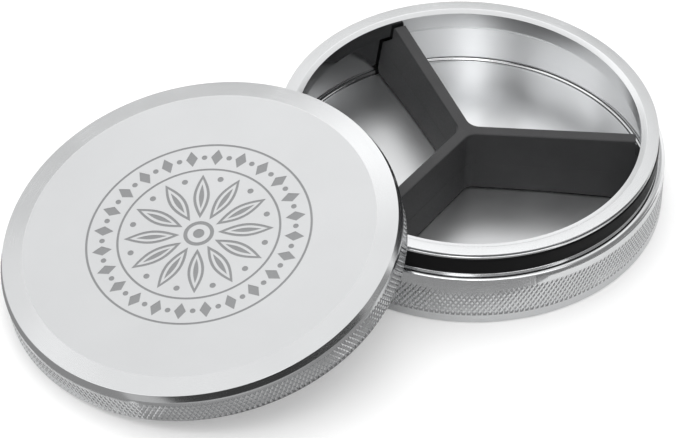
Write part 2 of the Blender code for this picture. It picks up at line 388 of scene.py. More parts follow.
# %% [markdown]
# ## The knurl
#
# A diamond knurl is rolled or cut by two sets of slanted grooves that cross.
# What is left between them is rows of small blunt pyramids, each row half a
# step round from the last. A bump map could draw them, but at this size the
# facets are what glitters, and a bump has no outline. So they are real faces:
# four sides and a flat top for each diamond, with the grooves running out at
# both edges of the band.

# %% The knurl
KNURL_DEPTH = 0.15 * MM
KNURL_TOP_SHARE = 0.42
KNURL_RUN_OUT = 0.10 * MM


def knurl(shape, lower, upper, radius, low, high, rows, slot):
    """Diamonds between two plain rings. Rows counts half diamonds up the band."""
    pitch = (high - low) / rows
    valleys = {}
    tops = {}

    def valley(step, row):
        """Lowest point, where grooves cross."""
        key = (step % COLUMNS, row)
        if key not in valleys:
            valleys[key] = shape.verts.new(at(step, radius - KNURL_DEPTH, low + row * pitch))
        return valleys[key]

    def top(step, row, along, up):
        """Corner of a diamond's flat top, towards one of its neighbours."""
        key = (step % COLUMNS, row, along, up)
        if key not in tops:
            share = KNURL_TOP_SHARE
            height = low + (row + up * share) * pitch
            tops[key] = shape.verts.new(at(step + along * share, radius, height))
        return tops[key]

    def face(*verts):
        """A flat facet."""
        made = shape.faces.new(verts)
        made.material_index = slot
        made.smooth = False

    for row in range(rows + 1):
        for step in range((row + 1) % 2, COLUMNS, 2):
            left = top(step, row, -1, 0)
            right = top(step, row, 1, 0)
            flat = [left]
            for up in (-1, 1):
                if not 0 <= row + up <= rows:
                    continue
                peak = top(step, row, 0, up)
                if up < 0:
                    flat.append(peak)
                face(valley(step - 1, row), left, peak, valley(step, row + up))
                face(valley(step + 1, row), right, peak, valley(step, row + up))
            flat.append(right)
            if row < rows:
                flat.append(top(step, row, 0, 1))
            face(*flat)
    for edge, row in ((lower, 0), (upper, rows)):
        for step in range((row + 1) % 2, COLUMNS, 2):
            before = (step - 1) % COLUMNS
            after = (step + 1) % COLUMNS
            left = top(step, row, -1, 0)
            right = top(step, row, 1, 0)
            face(edge[before], edge[step], left, valley(before, row))
            face(edge[step], edge[after], valley(after, row), right)
            face(edge[step], right, left)


print("knurl:", KNURL_DEPTH / MM, "mm deep")

# %% [markdown]
# ## The thumb recess
#
# In front of the can a shallow recess is milled out of the wall and the
# knurl, so that a nail gets under the lid. It is deepest at the shoulder and
# runs out downwards in half an ellipse. Moving the knurl's points in would
# bend its facets, where a mill cuts them off flat, so a wedge of that outline
# is made here and taken from the finished can with a Boolean.

# %% The thumb recess
CAN_RADIUS = 35.0 * MM
SHOULDER = 10.0 * MM
RECESS_BEARING = math.radians(270.5)
RECESS_HALF_SPAN = math.radians(26.5)
RECESS_HEIGHT = 3.9 * MM
RECESS_DEPTH = 0.44 * MM
RECESS_STEPS = 120
CUTTER_OUTSIDE = 0.11 * MM
CUTTER_ABOVE = 0.5 * MM


def recess_cutter():
    """Wedge that slopes in from the wall to the shoulder, in a half ellipse."""
    shape = bmesh.new()
    slope = RECESS_DEPTH / RECESS_HEIGHT
    outer = CAN_RADIUS + CUTTER_OUTSIDE
    top = SHOULDER + CUTTER_ABOVE
    sections = []
    for step in range(RECESS_STEPS + 1):
        share = math.sin(math.pi * (step / RECESS_STEPS - 1 / 2))
        angle = RECESS_BEARING + RECESS_HALF_SPAN * share
        foot = SHOULDER - RECESS_HEIGHT * math.sqrt(1 - share ** 2)
        section = [(outer, foot - CUTTER_OUTSIDE / slope), (outer, top)]
        section += [(CAN_RADIUS - (top - foot) * slope, top)]
        cos, sin = math.cos(angle), math.sin(angle)
        sections.append([shape.verts.new((r * cos, r * sin, z)) for r, z in section])
    for before, after in zip(sections, sections[1:]):
        for index in range(3):
            following = (index + 1) % 3
            quad = (before[index], before[following], after[following], after[index])
            shape.faces.new(quad)
    shape.faces.new(sections[0])
    shape.faces.new(sections[-1])
    bmesh.ops.recalc_face_normals(shape, faces=shape.faces)
    return to_object(shape, "recess_cutter", (satin_turned,))


print("recess:", round(2 * math.degrees(RECESS_HALF_SPAN)), "degrees wide")

# %% [markdown]
# ## The can
#
# The can is one turned piece: a floor with a cove into the wall, an undercut
# behind the neck's lip, a flat rim with a shallow bevel inside, the neck with
# a fine flute under the rim and the groove for the seal, a bright shoulder,
# and the outer wall with its knurled belt. Small breaks on the edges are what
# draws the fine bright and dark lines under the rim, so each is modelled as a
# step of the profile, where a Bevel modifier would give all edges one width.
# The profile runs from the middle of the floor outwards. The flat of the inner
# floor has the etched finish, whose paler colour is painted light.

# %% The can's sizes
WALL_BORE = 33.6 * MM
FLOOR_HEIGHT = 1.1 * MM
FLOOR_RING = 25 * MM
COVE = 0.8 * MM
LIP_BORE = 30.5 * MM
LIP_LOW = 11.5 * MM
LIP_ROUND = 0.12 * MM
UNDERCUT_TOP = 8.4 * MM
RIM_HEIGHT = 14.9 * MM
RIM_BEVEL_DROP = 0.30 * MM
RIM_BEVEL_WIDTH = 0.9 * MM
RIM_EASE_DROP = 0.03 * MM
RIM_EASE_WIDTH = 1.1 * MM
NECK_RADIUS = 33.6 * MM
FLUTE_RADIUS = 33.1 * MM
FLUTE_HIGH = 14.74 * MM
FLUTE_LOW = 14.32 * MM
FLUTE_BREAK = 0.10 * MM
GROOVE_RADIUS = 32.6 * MM
GROOVE_LOW = 10.38 * MM
GROOVE_HIGH = 13.85 * MM
GROOVE_HIGH_BREAK = 0.05 * MM
GROOVE_LOW_BREAK = 0.06 * MM
EDGE_BREAK = 0.08 * MM
SHOULDER_ROUND = 1.0 * MM
KNURL_LOW = 1.95 * MM
KNURL_HIGH = 7.70 * MM
KNURL_ROWS = 8
FOOT_CHAMFER = 0.3 * MM
MIDDLE_RING = 20 * MM
SATIN, BRIGHT, CUT, FLOOR = range(4)
print("can wall, mm:", round((CAN_RADIUS - WALL_BORE) / MM, 2))

# %% The can


def can_profile():
    """Points from the middle of the inner floor to the top of the knurl, with their finishes."""
    inside = [(FLOOR_RING, FLOOR_HEIGHT)]
    inside += corner(WALL_BORE - COVE, FLOOR_HEIGHT + COVE, COVE, -90, 0, 10)
    inside += [(WALL_BORE, UNDERCUT_TOP)]
    inside += corner(LIP_BORE + LIP_ROUND, LIP_LOW + LIP_ROUND, LIP_ROUND, 225, 180, 3)
    rim = [
        (LIP_BORE, RIM_HEIGHT - RIM_BEVEL_DROP),
        (LIP_BORE + RIM_BEVEL_WIDTH, RIM_HEIGHT - RIM_EASE_DROP),
        (LIP_BORE + RIM_EASE_WIDTH, RIM_HEIGHT),
    ]
    neck = corner(NECK_RADIUS - EDGE_BREAK, RIM_HEIGHT - EDGE_BREAK, EDGE_BREAK, 90, 0, 4)
    neck += [
        (NECK_RADIUS, FLUTE_HIGH),
        (FLUTE_RADIUS, FLUTE_HIGH - EDGE_BREAK),
        (FLUTE_RADIUS, FLUTE_LOW),
        (NECK_RADIUS - FLUTE_BREAK, FLUTE_LOW),
        (NECK_RADIUS, FLUTE_LOW - EDGE_BREAK),
        (NECK_RADIUS, GROOVE_HIGH + GROOVE_HIGH_BREAK),
        (NECK_RADIUS - GROOVE_HIGH_BREAK, GROOVE_HIGH),
        (GROOVE_RADIUS, GROOVE_HIGH),
        (GROOVE_RADIUS, GROOVE_LOW),
        (NECK_RADIUS - EDGE_BREAK, GROOVE_LOW),
        (NECK_RADIUS, GROOVE_LOW - GROOVE_LOW_BREAK),
        (NECK_RADIUS, SHOULDER + EDGE_BREAK),
        (NECK_RADIUS + EDGE_BREAK, SHOULDER),
    ]
    middle = (CAN_RADIUS - SHOULDER_ROUND, SHOULDER - SHOULDER_ROUND)
    neck += corner(*middle, SHOULDER_ROUND, 90, 0, 12)
    wall = [(CAN_RADIUS, KNURL_HIGH + KNURL_RUN_OUT)]
    slots = [FLOOR] + [BRIGHT] * (len(inside) - 1) + [SATIN] * len(rim)
    slots += [BRIGHT] * (len(neck) - 1) + [SATIN]
    return inside + rim + neck + wall, slots


def make_can():
    """The can, from the middle of its floor over the rim to its underside."""
    shape = bmesh.new()
    rings = stack(shape, *can_profile())
    cap(shape, rings[0], FLOOR_HEIGHT, FLOOR)
    foot = [(CAN_RADIUS, KNURL_LOW - KNURL_RUN_OUT), (CAN_RADIUS, FOOT_CHAMFER)]
    foot += [(CAN_RADIUS - FOOT_CHAMFER, 0.0), (MIDDLE_RING, 0.0)]
    lower = stack(shape, foot, [SATIN, BRIGHT, SATIN])
    cap(shape, lower[-1], 0.0, SATIN)
    knurl(shape, lower[0], rings[-1], CAN_RADIUS, KNURL_LOW, KNURL_HIGH, KNURL_ROWS, CUT)
    finishes = (satin_turned, bright_turned, knurled, etched_paler_painted)
    return to_piece(shape, "can", finishes, cutter=recess_cutter())


can = make_can()
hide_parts("base_can")
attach(can, "can")

# %% [markdown]
# ## The seal
#
# A flat rubber band sits in the neck's groove and stands a little proud of
# it, so that the lid grips it. Its edges are rounded by the mould, and its
# face is crowned by two hundredths of a millimetre. A torus would be too
# round, so its section is drawn and turned like the can's.

# %% The seal
SEAL_INNER = 32.8 * MM
SEAL_OUTER = 33.75 * MM
SEAL_ROUND = 0.3 * MM
SEAL_GAP = 0.12 * MM
SEAL_CROWN = 0.02 * MM


def make_seal():
    """The band, with its section turned round the axis."""
    shape = bmesh.new()
    low = GROOVE_LOW + SEAL_GAP
    high = GROOVE_HIGH - SEAL_GAP
    middle = SEAL_OUTER - SEAL_ROUND
    section = [(SEAL_INNER, low)] + corner(middle, low + SEAL_ROUND, SEAL_ROUND, -90, 0)
    section += [(SEAL_OUTER + SEAL_CROWN, (low + high) / 2)]
    section += corner(middle, high - SEAL_ROUND, SEAL_ROUND, 0, 90) + [(SEAL_INNER, high)]
    rings = stack(shape, section, [0] * len(section))
    band(shape, rings[-1], rings[0], 0)
    return to_piece(shape, "seal", (nitrile,), crease=50.0)


seal = make_seal()
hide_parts("seal_band")
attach(seal, "can")

# %% [markdown]
# ## The divider
#
# Three silicone arms meet at a hub with rounded corners. Each arm is thinner
# at its top than at its foot, flares towards the wall, and is notched at its
# end to pass under the lip. Three boxes joined by a Boolean would have
# straight sides and a sharp hub. At every height the real outline is the same
# list of points, so the whole piece is a loft of outlines. A thin line, not
# quite half way up, shows where the two halves of the mould met.

# %% The divider's outline
ARM_BEARINGS = [math.radians(value) for value in (0.8, 116.0, 237.6)]
ARM_TOP_HALF = 1.10 * MM
ARM_FOOT_HALF = 1.15 * MM
ARM_FLARE = 1.65 * MM
ARM_LOW_REACH = 32.9 * MM
ARM_HIGH_REACH = 29.9 * MM
ARM_SHARES = (0.28, 0.45, 0.6, 0.75, 0.9)
END_STEPS = 6
HUB_FILLET = 2.6 * MM
FILLET_STEPS = 10
DIVIDER_PLACE = Vector((-0.35, 0.0, 1.4)) * MM
DIVIDER_HEIGHT = 12.4 * MM
NOTCH_GAP = 0.3 * MM
NOTCH_HIGH = LIP_LOW - DIVIDER_PLACE.z - NOTCH_GAP
NOTCH_RISE = ARM_LOW_REACH - ARM_HIGH_REACH


def unit(angle):
    """Unit vector in the plane."""
    return Vector((math.cos(angle), math.sin(angle)))


def arm_half(reach, share, inset):
    """Half of an arm's thickness at a distance from the hub."""
    foot = ARM_FOOT_HALF + ARM_FLARE * (reach / WALL_BORE) ** 2
    return foot + (ARM_TOP_HALF - foot) * share - inset


def arm_reach(height, inset):
    """How far the arms reach at a height above the divider's foot."""
    if height < COVE:
        reach = ARM_LOW_REACH - COVE + height
    elif height < NOTCH_HIGH - NOTCH_RISE:
        reach = ARM_LOW_REACH
    elif height < NOTCH_HIGH:
        reach = ARM_LOW_REACH - (height - NOTCH_HIGH + NOTCH_RISE)
    else:
        reach = ARM_HIGH_REACH
    return reach - inset


def divider_outline(height, inset):
    """Outline at one height, anticlockwise: for each arm its sides, its end and a hub fillet."""
    share = height / DIVIDER_HEIGHT
    reach = arm_reach(height, inset)
    points = []
    for index, bearing in enumerate(ARM_BEARINGS):
        along = unit(bearing)
        left = Vector((-along.y, along.x))
        end_half = arm_half(reach, share, inset)
        end = math.sqrt(reach ** 2 - end_half ** 2)
        for part in ARM_SHARES:
            points.append(along * end * part - left * arm_half(end * part, share, inset))
        swing = math.asin(end_half / reach)
        for step in range(END_STEPS + 1):
            points.append(unit(bearing + swing * (2 * step / END_STEPS - 1)) * reach)
        for part in reversed(ARM_SHARES):
            points.append(along * end * part + left * arm_half(end * part, share, inset))
        following = ARM_BEARINGS[(index + 1) % 3]
        right = Vector((math.sin(following), -math.cos(following)))
        radius = HUB_FILLET + inset
        offset = arm_half(0.0, share, inset) + radius
        middle = (left + right) / (1 + left.dot(right)) * offset
        start = math.atan2(-left.y, -left.x)
        sweep = (math.atan2(-right.y, -right.x) - start + math.pi) % math.tau - math.pi
        for step in range(FILLET_STEPS + 1):
            points.append(middle + unit(start + sweep * step / FILLET_STEPS) * radius)
    return points


print("divider outline:", len(divider_outline(0.0, 0.0)), "points")

# %% The divider's loft
PARTING_HEIGHT = 5.4 * MM
PARTING_PROUD = 0.03 * MM
PARTING_HALF = 0.08 * MM
ARM_EDGE_ROUND = 0.28 * MM
EDGE_STEPS = 4


def divider_levels():
    """Heights and insets of the loft, with the mould's line and the round top edge."""
    low = NOTCH_HIGH - NOTCH_RISE
    levels = [(0.0, 0.0), (COVE, 0.0), (PARTING_HEIGHT - PARTING_HALF, 0.0)]
    levels += [(PARTING_HEIGHT, -PARTING_PROUD), (PARTING_HEIGHT + PARTING_HALF, 0.0)]
    levels += [(low, 0.0), (NOTCH_HIGH - NOTCH_RISE / 2, 0.0)]
    levels += [(NOTCH_HIGH - 0.001 * MM, 0.0), (NOTCH_HIGH + 0.02 * MM, 0.0)]
    for step in range(EDGE_STEPS + 1):
        angle = math.pi / 2 * step / EDGE_STEPS
        height = DIVIDER_HEIGHT - ARM_EDGE_ROUND * (1 - math.sin(angle))
        levels.append((height, ARM_EDGE_ROUND * (1 - math.cos(angle))))
    return levels


def close_outline(shape, loop, height):
    """Close one end of the loft: strips across the arms and a fan over the hub."""
    middle = shape.verts.new((0.0, 0.0, height))
    per_arm = len(loop) // 3
    sides = len(ARM_SHARES)
    end = sides + END_STEPS + 1
    hub = []
    for arm in range(3):
        part = loop[arm * per_arm : (arm + 1) * per_arm]
        right = part[:sides]
        left = part[end : end + sides][::-1]
        for near in range(sides - 1):
            shape.faces.new((right[near], right[near + 1], left[near + 1], left[near]))
        shape.faces.new([right[-1]] + part[sides:end] + [left[-1]])
        hub += [right[0], left[0]] + part[end + sides :]
    for index, vert in enumerate(hub):
        shape.faces.new((vert, hub[(index + 1) % len(hub)], middle))


def make_divider():
    """The loft of the outlines, closed at its foot and top."""
    shape = bmesh.new()
    loops = []
    for height, inset in divider_levels():
        outline = divider_outline(height, inset)
        loops.append([shape.verts.new((point.x, point.y, height)) for point in outline])
    for lower, upper in zip(loops, loops[1:]):
        for index in range(len(lower)):
            after = (index + 1) % len(lower)
            quad = (lower[index], lower[after], upper[after], upper[index])
            shape.faces.new(quad).smooth = True
    close_outline(shape, loops[0], 0.0)
    close_outline(shape, loops[-1], DIVIDER_HEIGHT)
    bmesh.ops.translate(shape, verts=shape.verts, vec=DIVIDER_PLACE)
    return to_piece(shape, "divider", (silicone,), crease=35.0)


divider = make_divider()
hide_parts("divider_insert")
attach(divider, "can")

# %% [markdown]
# ## The mark on the lid
#
# The lid carries a plain geometric rosette: twelve petals drawn in outline, a
# small centre, and a ring of lozenges and dots between two fine circles. It
# could be painted with a texture, but a laser cuts into the metal, so it is
# drawn as closed outlines in the plane that the lid's mesh is cut along.
# Where outlines lie inside each other they alternate between marked and bare
# metal. The numbers in the lists are millimetres.

# %% The mark on the lid
PETALS = 12
LOZENGES = 24
MARK_CIRCLES = ((20.0, 200), (19.6, 200), (14.5, 160), (14.1, 160), (2.7, 96), (2.0, 96), (1.0, 48))
PETAL_LENSES = ((3.4, 13.2, 1.45), (4.5, 12.2, 0.95), (5.6, 11.0, 0.45))
PETAL_STEPS = 14
PETAL_DOT = 0.55 * MM
PETAL_DOT_REACH = 12.2 * MM
LOZENGE_REACH = 17.05 * MM
LOZENGE_LONG = 1.75 * MM
LOZENGE_WIDE = 1.05 * MM
LOZENGE_DOT = 0.5 * MM
DOT_STEPS = 24


def circle(radius, reach, steps):
    """Outline of a circle whose middle lies on +X."""
    outline = []
    for step in range(steps):
        angle = math.tau * step / steps
        outline.append(Vector((reach + radius * math.cos(angle), radius * math.sin(angle))))
    return outline


def turned_outline(points, angle):
    """An outline turned about the middle."""
    cos, sin = math.cos(angle), math.sin(angle)
    return [Vector((point.x * cos - point.y * sin, point.x * sin + point.y * cos)) for point in points]


def petal(inner, outer, half_width):
    """A lens along +X between two distances from the middle."""
    points = []
    for side in (-1, 1):
        for step in range(PETAL_STEPS):
            share = step / PETAL_STEPS if side < 0 else 1 - step / PETAL_STEPS
            reach = inner + (outer - inner) * share
            points.append(Vector((reach, side * half_width * math.sin(math.pi * share))))
    return points


def lozenge():
    """A diamond on +X, long side along it."""
    return [
        Vector((LOZENGE_REACH - LOZENGE_LONG, 0.0)),
        Vector((LOZENGE_REACH, -LOZENGE_WIDE)),
        Vector((LOZENGE_REACH + LOZENGE_LONG, 0.0)),
        Vector((LOZENGE_REACH, LOZENGE_WIDE)),
    ]


def mark_outlines():
    """All outlines of the mark, in metres."""
    made = [circle(radius * MM, 0.0, steps) for radius, steps in MARK_CIRCLES]
    for index in range(PETALS):
        angle = math.tau * index / PETALS
        for inner, outer, half in PETAL_LENSES:
            made.append(turned_outline(petal(inner * MM, outer * MM, half * MM), angle))
        dot = circle(PETAL_DOT, PETAL_DOT_REACH, DOT_STEPS)
        made.append(turned_outline(dot, angle + math.pi / PETALS))
    for index in range(LOZENGES):
        angle = math.tau * (index + 0.5) / LOZENGES
        made.append(turned_outline(lozenge(), angle))
        dot = circle(LOZENGE_DOT, LOZENGE_REACH, DOT_STEPS)
        made.append(turned_outline(dot, angle + math.pi / LOZENGES))
    return made


outlines = mark_outlines()
print("mark:", len(outlines), "outlines")

# %% [markdown]
# ## The lid
#
# The lid is a shallow turned cap. Its blasted disc ends in a turned ring that
# slopes down a little. Then come a steep polished bevel that mirrors the dark
# side of the room, a plain band, and the knurled skirt. The disc is filled
# with triangles that keep to the mark's outlines, and the marked ones are
# pressed 0.03 mm in with walls round them. A Boolean with so many thin
# outlines could be slow and leave slivers.

# %% The marked disc
LID_HEIGHT = 7.1 * MM
MARK_DEPTH = 0.03 * MM
BLASTED, MARKED = 3, 4
MERGE_WITHIN = 1e-9


def marked_disc(shape, edge):
    """Fill the lid's disc, with the mark pressed into it."""
    count = len(edge)
    points = [vert.co.to_2d() for vert in edge]
    faces = [list(range(count))]
    for outline in outlines:
        faces.append(list(range(len(points), len(points) + len(outline))))
        points += outline
    made = delaunay_2d_cdt(points, [], faces, 1, MERGE_WITHIN)
    places, _, triangles, sources, _, inside = made
    tops = []
    for place, source in zip(places, sources):
        on_edge = [index for index in source if index < count]
        if on_edge:
            tops.append(edge[on_edge[0]])
        else:
            tops.append(shape.verts.new((place.x, place.y, LID_HEIGHT)))
    floors = {}
    sides = {}
    for triangle, owners in zip(triangles, inside):
        marked = sum(1 for owner in owners if owner > 0) % 2 == 1
        corners = []
        for index in triangle:
            if marked and index not in floors:
                below = tops[index].co - Vector((0, 0, MARK_DEPTH))
                floors[index] = shape.verts.new(below)
            corners.append(floors[index] if marked else tops[index])
        face = shape.faces.new(corners)
        face.material_index = MARKED if marked else BLASTED
        for first, second in zip(triangle, triangle[1:] + triangle[:1]):
            sides.setdefault(frozenset((first, second)), []).append(marked)
    for side, marks in sides.items():
        if len(marks) == 2 and marks[0] != marks[1]:
            first, second = side
            face = shape.faces.new((tops[first], tops[second], floors[second], floors[first]))
            face.material_index = MARKED
    print("mark:", len(floors), "points pressed in")


# %% The lid
DISC_RADIUS = 31.15 * MM
LID_RADIUS = 35.35 * MM
LID_BORE = 33.95 * MM
LID_DEPTH = 5.6 * MM
RING_DROP = 0.58 * MM
BEVEL_WIDTH = 0.5 * MM
BEVEL_DROP = 1.24 * MM
DISC_BREAK_WIDTH = 0.12 * MM
DISC_BREAK_DROP = 0.02 * MM
RING_BREAK_WIDTH = 0.06 * MM
RING_BREAK_RISE = 0.01 * MM
RING_BREAK_DROP = 0.03 * MM
BAND_BREAK_WIDTH = 0.02 * MM
BAND_BREAK_DROP = 0.05 * MM
LID_KNURL_LOW = 0.40 * MM
LID_KNURL_HIGH = 4.25 * MM
LID_KNURL_ROWS = 5
LID_CHAMFER = 0.25 * MM
MOUTH_CHAMFER = 0.3 * MM


def make_lid():
    """The lid about its own axis, with the centre of its open side at the origin."""
    shape = bmesh.new()
    edge = LID_HEIGHT - RING_DROP
    outside = [
        (DISC_RADIUS, LID_HEIGHT),
        (DISC_RADIUS + DISC_BREAK_WIDTH, LID_HEIGHT - DISC_BREAK_DROP),
        (LID_RADIUS - BEVEL_WIDTH - RING_BREAK_WIDTH, edge + RING_BREAK_RISE),
        (LID_RADIUS - BEVEL_WIDTH, edge - RING_BREAK_DROP),
        (LID_RADIUS - BAND_BREAK_WIDTH, edge - BEVEL_DROP),
        (LID_RADIUS, edge - BEVEL_DROP - BAND_BREAK_DROP),
        (LID_RADIUS, LID_KNURL_HIGH + KNURL_RUN_OUT),
    ]
    upper = stack(shape, outside, [SATIN, SATIN, BRIGHT, BRIGHT, BRIGHT, SATIN])
    marked_disc(shape, upper[0])
    foot = [(LID_RADIUS, LID_KNURL_LOW - KNURL_RUN_OUT), (LID_RADIUS, LID_CHAMFER)]
    foot += [(LID_RADIUS - LID_CHAMFER, 0.0), (LID_BORE + MOUTH_CHAMFER, 0.0)]
    foot += [(LID_BORE, MOUTH_CHAMFER)]
    foot += corner(LID_BORE - COVE, LID_DEPTH - COVE, COVE, 0, 90) + [(MIDDLE_RING, LID_DEPTH)]
    lower = stack(shape, foot, [SATIN, BRIGHT, SATIN, BRIGHT] + [SATIN] * 8)
    cap(shape, lower[-1], LID_DEPTH, SATIN)
    knurl(shape, lower[0], upper[-1], LID_RADIUS, LID_KNURL_LOW, LID_KNURL_HIGH, LID_KNURL_ROWS, CUT)
    finishes = (satin_turned, bright_turned, knurled, blasted, laser_mark)
    return to_piece(shape, "lid_cap", finishes)


# %% [markdown]
# ## Where the lid lies
#
# The lid is made about its own axis and then laid against the can. It could
# be turned by eye, but two contacts fix it: the lowest point of its edge
# stands on the table, and its open side rests on the can's rim. Its lean
# follows from the rim's height and from how far it reaches over the can.

# %% Where the lid lies
LEAN_GAP = 0.3 * MM
LEAN_OVERLAP = 6.67 * MM
LEAN_BEARING = math.radians(215.63)


def lid_place():
    """The lid leans with its foot on the surface and on the can's rim."""
    foot_radius = LID_RADIUS - LID_CHAMFER
    lean = math.asin((RIM_HEIGHT + LEAN_GAP) / (2 * foot_radius - LEAN_OVERLAP))
    beyond = foot_radius - LEAN_OVERLAP
    half_chord = math.sqrt(foot_radius ** 2 - beyond ** 2)
    standoff = math.sqrt(NECK_RADIUS ** 2 - half_chord ** 2) + beyond * math.cos(lean)
    out = unit(LEAN_BEARING).to_3d()
    axis = Vector((-out.y, out.x, 0.0))
    middle = out * standoff + Vector((0, 0, foot_radius * math.sin(lean)))
    return Matrix.Translation(middle) @ Matrix.Rotation(lean, 4, axis)


lid = make_lid()
lid.matrix_world = lid_place()
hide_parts("lid")
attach(lid, "lid")

# %% [markdown]
# ## Floor
#
# The tin stands on a large sheet of off-white paint. In the picture the sheet
# goes to white and keeps only the tin's soft shadow. More light on the floor
# would also burn out the metal, so for the camera a fifth of the floor is a
# steady glow, brighter than white, and the rest is the paint as the lamps
# light it.

# %% Floor
FLOOR_WHITE = 1.4
FLOOR_SHARE = 0.2
FLOOR_HALF = 3000 * MM


def pale_paint():
    """Matt paint that goes to white for the camera, and keeps its shadows."""
    material, tree, shader = new_material("pale_matt_paint")
    tree.nodes.remove(shader)
    paint = add(tree, "ShaderNodeBsdfDiffuse", {"Color": linear("#f4f4f4")})
    white = add(tree, "ShaderNodeEmission", {"Color": linear("#ffffff"), "Strength": FLOOR_WHITE})
    seen = add(tree, "ShaderNodeLightPath").outputs["Is Camera Ray"]
    share = add(tree, "ShaderNodeMath", {0: seen, 1: FLOOR_SHARE}, operation="MULTIPLY")
    feeds = {0: share.outputs[0], 1: paint.outputs[0], 2: white.outputs[0]}
    mixed = add(tree, "ShaderNodeMixShader", feeds)
    tree.links.new(mixed.outputs[0], tree.nodes["Material Output"].inputs["Surface"])
    return material


def make_floor():
    """A large flat sheet under the tin."""
    shape = bmesh.new()
    bmesh.ops.create_grid(shape, x_segments=1, y_segments=1, size=FLOOR_HALF)
    to_object(shape, "floor", (pale_paint(),))


make_floor()
print("floor:", round(2 * FLOOR_HALF, 1), "m wide")

# %% [markdown]
# ## Room
#
# Metal shows its surroundings more than itself, so the room matters as much
# as the finish. It could be walls and flags of real meshes. The world can
# stand for them with a few soft zones on one pale level: dark on the camera's
# side, which draws the black lines along the edges, grey at the right front,
# which keeps the can's wall from mirroring white, grey overhead between the
# lamps, and a bright band low behind the tin, which the inner floor and the
# far wall mirror. Each zone starts and is full at a share of a direction, so
# its edges are soft. The camera itself sees plain white.

# %% Room
ROOM_PALE = 0.72
ROOM_DARK = 0.07
ROOM_FLAG = 0.28
ROOM_HIGH = 0.45
ROOM_LOW = 1.35


def direction(azimuth, elevation):
    """Unit vector from the tin, with angles in degrees."""
    turn, rise = math.radians(azimuth), math.radians(elevation)
    level = math.cos(rise)
    return Vector((math.cos(turn) * level, math.sin(turn) * level, math.sin(rise)))


BEHIND = direction(90, 0)
RIGHT_FRONT = direction(-50, 0)
OVERHEAD = direction(0, 90)
ZONES = (
    (ROOM_DARK, [(BEHIND, 0.05, -0.45)]),
    (ROOM_FLAG, [(RIGHT_FRONT, 0.05, 0.35)]),
    (ROOM_HIGH, [(OVERHEAD, 0.58, 0.68)]),
    (ROOM_LOW, [(BEHIND, 0.5, 0.8), (OVERHEAD, 0.52, 0.34)]),
)


def make_world():
    """One pale level with the zones blended into it, and white to the camera."""
    world = bpy.data.worlds.new("studio")
    bpy.context.scene.world = world
    world.use_nodes = True
    tree = world.node_tree
    tree.nodes.clear()
    way = add(tree, "ShaderNodeTexCoord").outputs["Generated"]
    level = ROOM_PALE
    for brightness, bounds in ZONES:
        share = 1.0
        for facing, start, full in bounds:
            feeds = {0: way, 1: facing}
            along = add(tree, "ShaderNodeVectorMath", feeds, operation="DOT_PRODUCT")
            feeds = {"Value": along.outputs["Value"], "From Min": start, "From Max": full}
            step = add(tree, "ShaderNodeMapRange", feeds, interpolation_type="SMOOTHSTEP")
            feeds = {0: share, 1: step.outputs[0]}
            share = add(tree, "ShaderNodeMath", feeds, operation="MULTIPLY").outputs[0]
        feeds = {"Factor": share, "A": level, "B": brightness}
        level = add(tree, "ShaderNodeMix", feeds, data_type="FLOAT").outputs[0]
    room = add(tree, "ShaderNodeBackground", {"Color": linear("#ffffff"), "Strength": level})
    white = add(tree, "ShaderNodeBackground", {"Color": linear("#ffffff"), "Strength": 1.0})
    seen = add(tree, "ShaderNodeLightPath").outputs["Is Camera Ray"]
    mixed = add(tree, "ShaderNodeMixShader", {0: seen, 1: room.outputs[0], 2: white.outputs[0]})
    add(tree, "ShaderNodeOutputWorld", {"Surface": mixed.outputs[0]})


make_world()
print("room:", len(ZONES), "zones on a level of", ROOM_PALE)

# %% [markdown]
# ## Painted shade and reflections on the floor
#
# A white floor right up to the tin would be mirrored in every upright face.
# So glowing sheets of a set brightness lie on the floor, where only polished
# metal sees them: they are painted shade and painted reflection, not lit
# paper. A grey one in front of the can and one on each side of the tin paint
# the floor's shade near the tin into the metal. In front of the lid a pale
# strip and then a black sheet paint a bright and a dark line into its bevel.
# The camera doesn't see them, they cast no shadow and they light no matt
# face, so the floor stays clean. Each lies at a height of its own, at least a
# hundredth of a millimetre from the next, so that no two share a plane.
# Corners are in millimetres.

# %% Painted shade and reflections on the floor
# Painted shade: the floor in front of the can, as its wall mirrors it.
FRONT_SHADE_SHEET = (
    (-22, -42), (0, -44.5), (22, -41), (28, -38.2), (60, -45),
    (420, -95), (420, -420), (-420, -420), (-420, -120), (-60, -72),
)
# Painted shade: the floor at the left, under the lid's skirt, as the skirt mirrors it.
LEFT_SHADE_SHEET = (
    (-82.2, -24), (-81.7, -38), (-77.0, -50.6), (-66.0, -62.9), (-57.2, -67.4),
    (-60, -86), (-700, -86), (-700, 300),
)
# Painted shade: the floor beside the can's right side, as its wall mirrors it.
RIGHT_SHADE_SHEET = (
    (31, -37.5), (38, -31), (40.2, -21), (41.7, -7), (41.3, 1.5),
    (420, 60), (420, -94), (60, -44.9),
)
# Painted highlight: a glowing strip that draws a bright line in the lid's bevel.
BEVEL_HIGHLIGHT_SHEET = ((-75, -77), (30, -77), (30, -89), (-75, -89))
# Painted reflection: a dark glowing sheet that draws a dark line in the lid's bevel and darkens the
# far floor in the metal.
BEVEL_DARK_SHEET = ((-900, -88), (900, -88), (900, -1500), (-900, -1500))
REFLECTION_SHEETS = (
    ("front_painted_floor_shade", FRONT_SHADE_SHEET, 0.05, 0.36),
    ("left_painted_floor_shade", LEFT_SHADE_SHEET, 0.07, 0.34),
    ("right_painted_floor_shade", RIGHT_SHADE_SHEET, 0.06, 0.32),
    ("bevel_painted_highlight", BEVEL_HIGHLIGHT_SHEET, 0.08, 0.62),
    ("bevel_painted_dark_reflection", BEVEL_DARK_SHEET, 0.10, 0.05),
)


